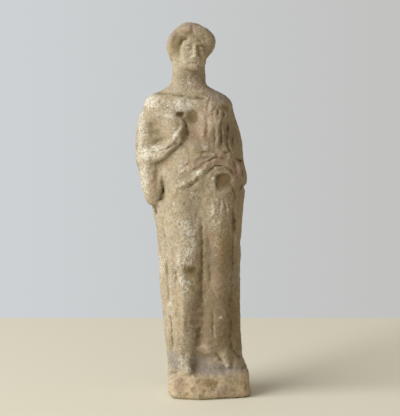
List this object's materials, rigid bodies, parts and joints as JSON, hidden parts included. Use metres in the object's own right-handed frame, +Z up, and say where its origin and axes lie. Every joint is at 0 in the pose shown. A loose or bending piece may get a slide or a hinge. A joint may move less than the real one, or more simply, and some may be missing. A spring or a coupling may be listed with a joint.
{
  "type": "figurine",
  "caption": "Mould-made figurine of a standing draped woman on a low rectangular plinth, one piece of fired clay, worn and encrusted.",
  "frame": {"origin": "middle of the plinth's flat underside, between its left and right sides and near the middle of its depth", "axes": "+Z up along the figure's height, her front faces -Y, +X is the viewer's right"},
  "size_m": [0.0831, 0.0424, 0.27],
  "materials": {
    "fired_clay": "matt buff fired clay, worn, with traces of white slip, earth and encrustation"
  },
  "bodies": {
    "root": {"draped_woman_figurine": "fired_clay"}
  },
  "joints": []
}
